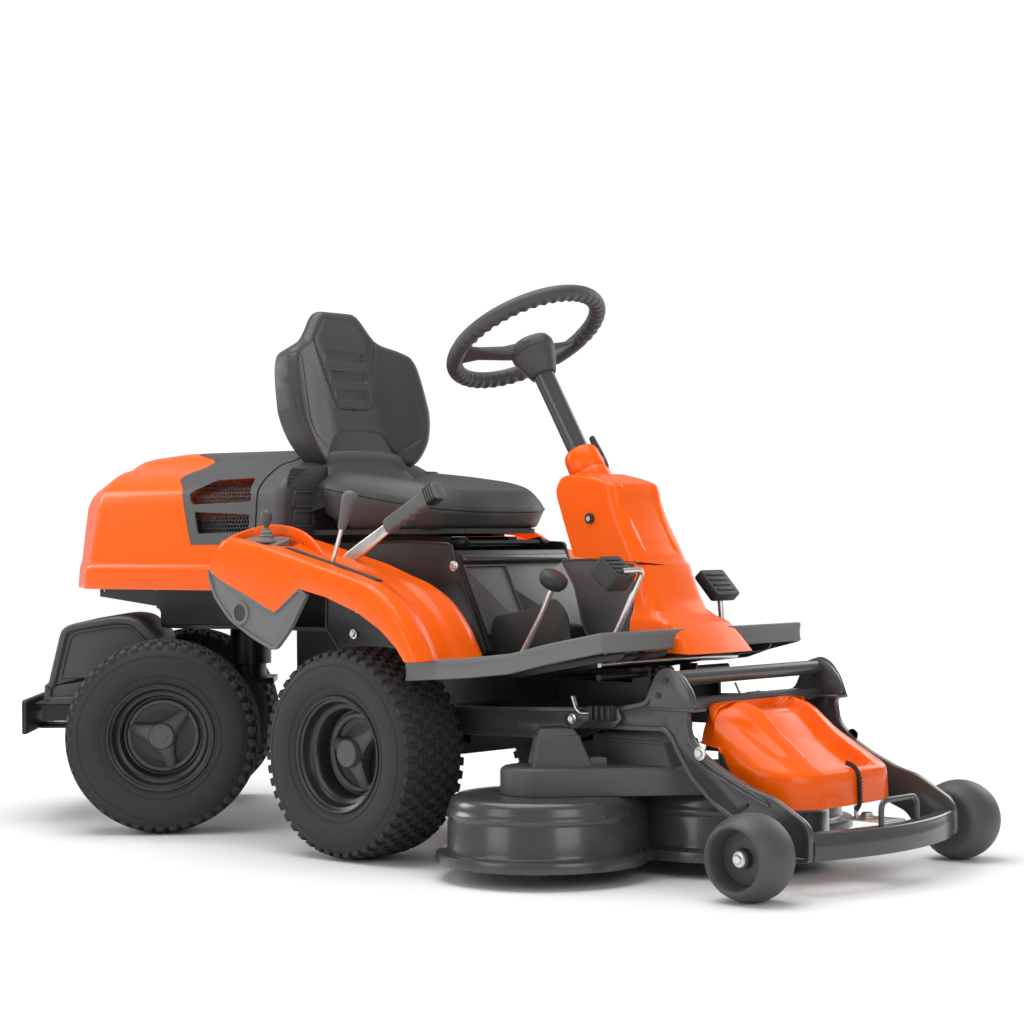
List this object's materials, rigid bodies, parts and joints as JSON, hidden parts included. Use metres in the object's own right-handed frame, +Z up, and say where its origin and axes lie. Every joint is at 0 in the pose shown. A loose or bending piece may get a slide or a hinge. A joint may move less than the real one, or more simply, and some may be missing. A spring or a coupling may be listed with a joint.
{
  "type": "riding lawn mower",
  "caption": "Articulated ride-on lawn mower with front cutting deck, side levers, tilting hood and seat, and a rear section that steers about a vertical pivot.",
  "frame": {"origin": "middle of the footprint at rest, on the ground under the machine", "axes": "+Z up, -Y ahead of the machine, +X on the operator's left"},
  "size_m": [1.0429, 2.246, 1.12],
  "materials": {
    "orange_cover": "glossy moulded cover",
    "grey_moulding": "fine-textured moulded plastic",
    "black_moulding": "matt moulded plastic",
    "chassis_paint": "semi-gloss powder coat",
    "black_sheet": "semi-gloss painted sheet",
    "deck_paint": "glossy powder coat",
    "wheel_paint": "satin paint",
    "tyre_rubber": "moulded rubber",
    "axle_steel": "machined",
    "zinc_steel": "zinc plated",
    "engine_alloy": "cast",
    "cast_weight": "rough cast",
    "knob_plastic": "moulded plastic",
    "wheel_rim_plastic": "fine-grained moulded plastic",
    "seat_vinyl": "coated fabric"
  },
  "bodies": {
    "chassis": {"main_frame": "chassis_paint", "front_axle": "axle_steel", "footplate": "grey_moulding", "console_cover": "orange_cover", "console_base": "black_moulding", "fender_right": "orange_cover", "fender_left": "orange_cover", "fender_skirts": "grey_moulding", "seat_pedestal": "black_sheet", "control_panel": "grey_moulding", "engine": "engine_alloy", "seat_back_panel": "grey_moulding", "fuel_tank": "black_moulding", "battery": "black_moulding", "chassis_bolts": "zinc_steel", "column_collar": "black_moulding"},
    "clamp_knob": {"clamp_knob": "black_moulding"},
    "column": {"column_tube": "chassis_paint"},
    "steering_wheel": {"steering_wheel": "wheel_rim_plastic", "steering_hub": "wheel_rim_plastic"},
    "ignition_lock": {"ignition_lock": "zinc_steel"},
    "forward_pedal": {"forward_pedal": "zinc_steel"},
    "reverse_pedal": {"reverse_pedal": "zinc_steel"},
    "brake_pedal": {"brake_pedal": "zinc_steel"},
    "lift_lever": {"lift_lever": "zinc_steel", "lift_grip": "knob_plastic"},
    "height_lever": {"height_lever": "zinc_steel"},
    "throttle_lever": {"throttle_lever": "knob_plastic"},
    "seat_frame": {"seat_frame": "black_sheet"},
    "seat": {"seat_pan": "black_moulding", "seat_cushion": "seat_vinyl", "seat_backrest": "seat_vinyl"},
    "hood": {"hood_cover": "orange_cover", "hood_shroud": "grey_moulding", "hood_mesh": "black_sheet"},
    "rear_section": {"rear_frame": "chassis_paint", "transaxle": "engine_alloy", "weight_cover": "grey_moulding", "counterweight": "cast_weight", "tow_hitch": "deck_paint"},
    "wheel_front_right": {"tyre_front_right": "tyre_rubber", "rim_front_right": "wheel_paint"},
    "wheel_front_left": {"tyre_front_left": "tyre_rubber", "rim_front_left": "wheel_paint"},
    "wheel_rear_right": {"tyre_rear_right": "tyre_rubber", "rim_rear_right": "wheel_paint"},
    "wheel_rear_left": {"tyre_rear_left": "tyre_rubber", "rim_rear_left": "wheel_paint"},
    "equipment_frame": {"arm_right": "deck_paint", "arm_left": "deck_paint", "cross_tube": "deck_paint", "front_bar": "deck_paint", "deck_cover": "orange_cover"},
    "deck": {"deck_shell": "deck_paint", "belt_covers": "grey_moulding"},
    "gauge_wheel_right": {"gauge_wheel_right": "grey_moulding"},
    "gauge_wheel_left": {"gauge_wheel_left": "grey_moulding"},
    "blade_right": {"spindle_right": "axle_steel"},
    "blade_front": {"spindle_front": "axle_steel"},
    "blade_left": {"spindle_left": "axle_steel"}
  },
  "joints": [
    {"name": "articulation", "type": "hinge", "parent": "chassis", "child": "rear_section", "pos_m": [0.00152, 0.60105, 0.2035], "axis": [0, 0, 1], "range_deg": [-88, 0]},
    {"name": "column_height", "type": "slide", "parent": "chassis", "child": "column", "axis": [0, 0.5045, 0.8634], "range_m": [-0.03, 0.04]},
    {"name": "steering", "type": "hinge", "parent": "column", "child": "steering_wheel", "pos_m": [0.00152, -0.23648, 1.01847], "axis": [0, 0.5045, 0.8634], "range_deg": [-2, 354]},
    {"name": "clamp_turn", "type": "hinge", "parent": "chassis", "child": "clamp_knob", "pos_m": [0.05152, -0.38279, 0.76808], "axis": [1, 0, 0], "range_deg": [0, 120]},
    {"name": "ignition_turn", "type": "hinge", "parent": "chassis", "child": "ignition_lock", "pos_m": [-0.06848, -0.47495, 0.655], "axis": [1, 0, 0], "range_deg": [0, 90]},
    {"name": "forward_press", "type": "hinge", "parent": "chassis", "child": "forward_pedal", "pos_m": [-0.20348, -0.60495, 0.356], "axis": [1, 0, 0], "range_deg": [0, 15], "stiffness_Nm_per_rad": 12, "springref_deg": -20.05},
    {"name": "reverse_press", "type": "hinge", "parent": "chassis", "child": "reverse_pedal", "pos_m": [-0.20348, -0.37495, 0.356], "axis": [1, 0, 0], "range_deg": [0, 16], "stiffness_Nm_per_rad": 12, "springref_deg": -20.05},
    {"name": "brake_press", "type": "hinge", "parent": "chassis", "child": "brake_pedal", "pos_m": [0.20652, -0.56495, 0.356], "axis": [1, 0, 0], "range_deg": [0, 18], "stiffness_Nm_per_rad": 15, "springref_deg": -20.05},
    {"name": "deck_lift", "type": "hinge", "parent": "chassis", "child": "equipment_frame", "pos_m": [0.23452, -0.21495, 0.262], "axis": [-1, 0, 0], "range_deg": [0, 8]},
    {"name": "lift_lever_swing", "type": "hinge", "parent": "chassis", "child": "lift_lever", "pos_m": [-0.33648, -0.04095, 0.512], "axis": [-1, 0, 0], "range_deg": [0, 40]},
    {"name": "deck_height", "type": "slide", "parent": "equipment_frame", "child": "deck", "axis": [0, 0, 1], "range_m": [0, 0.025]},
    {"name": "height_lever_swing", "type": "hinge", "parent": "chassis", "child": "height_lever", "pos_m": [-0.38648, -0.04695, 0.512], "axis": [-1, 0, 0], "range_deg": [0, 30]},
    {"name": "throttle_swing", "type": "hinge", "parent": "chassis", "child": "throttle_lever", "pos_m": [-0.38748, 0.11905, 0.6], "axis": [1, 0, 0], "range_deg": [-20, 20]},
    {"name": "seat_tilt", "type": "hinge", "parent": "chassis", "child": "seat_frame", "pos_m": [0.00152, -0.17095, 0.606], "axis": [1, 0, 0], "range_deg": [0, 30]},
    {"name": "seat_slide", "type": "slide", "parent": "seat_frame", "child": "seat", "axis": [0, -1, 0], "range_m": [0, 0.06]},
    {"name": "hood_tilt", "type": "hinge", "parent": "chassis", "child": "hood", "pos_m": [0.00152, 1.00305, 0.5], "axis": [-1, 0, 0], "range_deg": [0, 75]},
    {"name": "front_right_roll", "type": "hinge", "parent": "chassis", "child": "wheel_front_right", "pos_m": [-0.35598, -0.12495, 0.2035], "axis": [1, 0, 0], "continuous": true},
    {"name": "front_left_roll", "type": "hinge", "parent": "chassis", "child": "wheel_front_left", "pos_m": [0.35902, -0.12495, 0.2035], "axis": [1, 0, 0], "continuous": true},
    {"name": "rear_right_roll", "type": "hinge", "parent": "rear_section", "child": "wheel_rear_right", "pos_m": [-0.33511, 0.49978, 0.2035], "axis": [0.7193, 0.6947, 0], "continuous": true},
    {"name": "rear_left_roll", "type": "hinge", "parent": "rear_section", "child": "wheel_rear_left", "pos_m": [0.11447, 0.93394, 0.2035], "axis": [0.7193, 0.6947, 0], "continuous": true},
    {"name": "gauge_right_roll", "type": "hinge", "parent": "equipment_frame", "child": "gauge_wheel_right", "pos_m": [-0.33608, -1.02365, 0.075], "axis": [1, 0, 0], "continuous": true},
    {"name": "gauge_left_roll", "type": "hinge", "parent": "equipment_frame", "child": "gauge_wheel_left", "pos_m": [0.33912, -1.02365, 0.075], "axis": [1, 0, 0], "continuous": true},
    {"name": "blade_right_spin", "type": "hinge", "parent": "deck", "child": "blade_right", "pos_m": [-0.32848, -0.55695, 0.15], "axis": [0, 0, 1], "continuous": true},
    {"name": "blade_front_spin", "type": "hinge", "parent": "deck", "child": "blade_front", "pos_m": [0.00152, -0.73595, 0.15], "axis": [0, 0, 1], "continuous": true},
    {"name": "blade_left_spin", "type": "hinge", "parent": "deck", "child": "blade_left", "pos_m": [0.33152, -0.55695, 0.15], "axis": [0, 0, 1], "continuous": true}
  ],
  "couplings": [
    {"joint": "steering", "follows": "articulation", "ratio": -4},
    {"joint": "lift_lever_swing", "follows": "deck_lift", "ratio": 5},
    {"joint": "height_lever_swing", "follows": "deck_height", "rad_per_m": 20.923},
    {"joint": "blade_right_spin", "follows": "blade_front_spin", "ratio": 1},
    {"joint": "blade_left_spin", "follows": "blade_front_spin", "ratio": 1}
  ]
}
